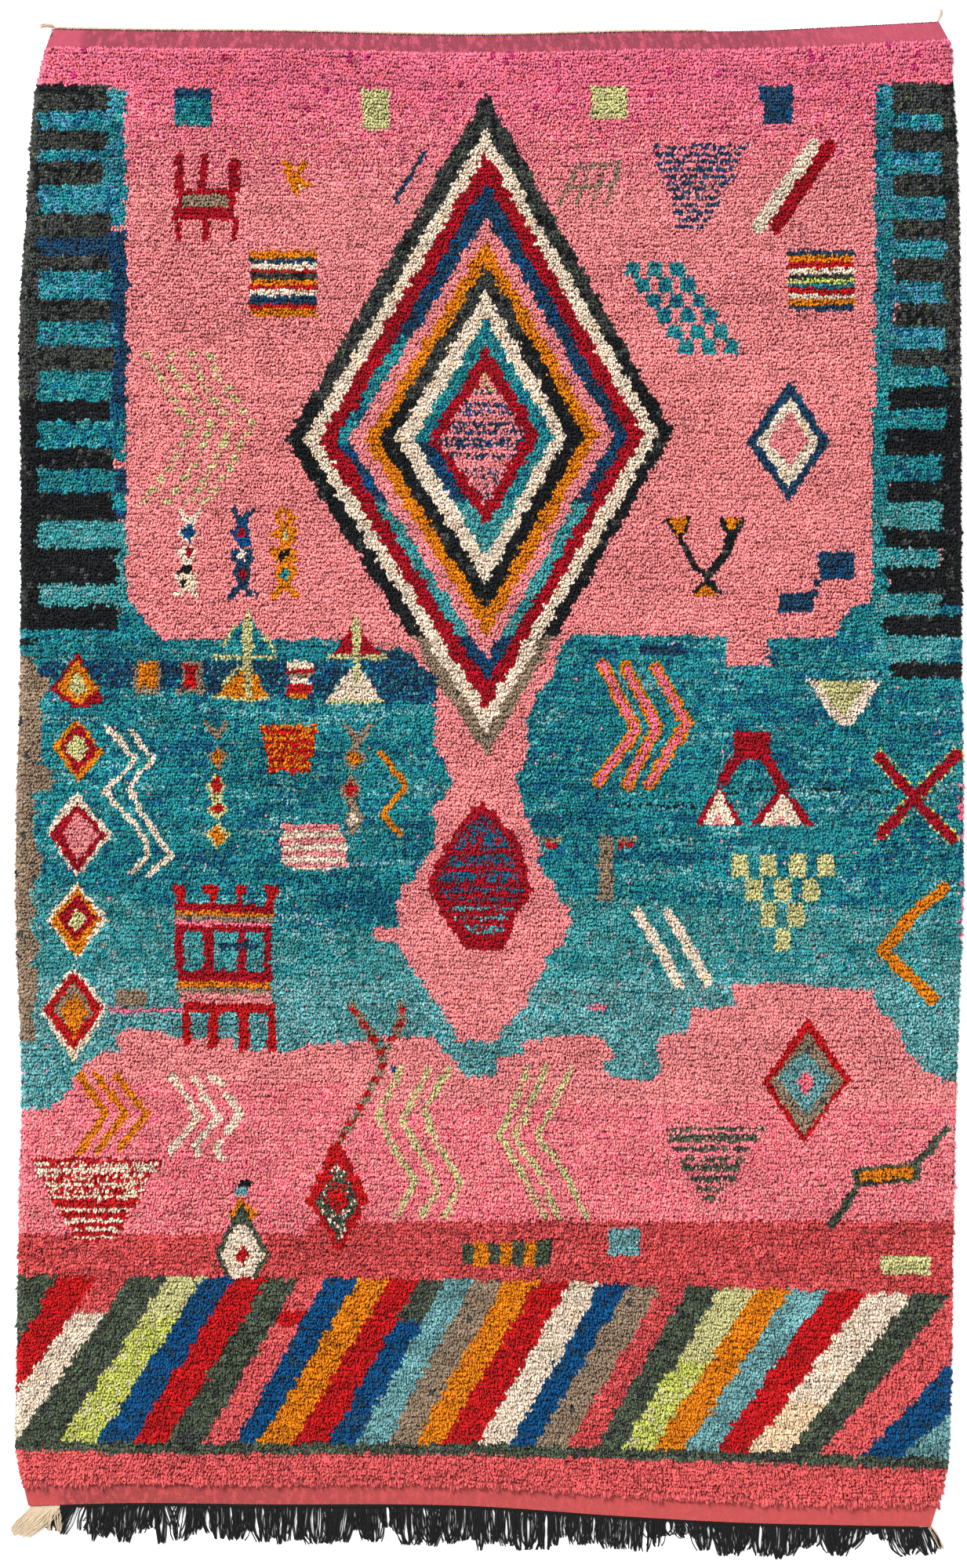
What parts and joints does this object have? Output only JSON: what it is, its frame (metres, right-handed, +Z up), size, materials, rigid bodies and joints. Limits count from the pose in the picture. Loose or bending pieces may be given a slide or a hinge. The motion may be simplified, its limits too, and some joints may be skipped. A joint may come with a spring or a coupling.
{
  "type": "hand-knotted wool rug",
  "caption": "Rectangular hand-knotted wool rug, lying flat, with a short shaggy pile, flat-woven ends, a warp fringe at one end and a heading cord at the other.",
  "frame": {"origin": "centre of the rug's outline, its fringe and loose ends included, on the floor that it lies on", "axes": "+X across the rug, to the right when the fringe is at the near end; +Y along the rug, from the fringe to the heading cord; +Z up from the floor, out of the pile"},
  "size_m": [1.8334, 2.9759, 0.0186],
  "materials": {
    "rose_wool": "matt knotted wool",
    "black_warp": "matt twisted wool",
    "cream_warp": "matt twisted wool"
  },
  "bodies": {
    "root": {"rug": "rose_wool", "fringe_black": "black_warp", "fringe_cream_left": "cream_warp", "fringe_cream_right": "cream_warp", "heading_cord": "cream_warp", "corner_warp_end": "cream_warp"}
  },
  "joints": []
}
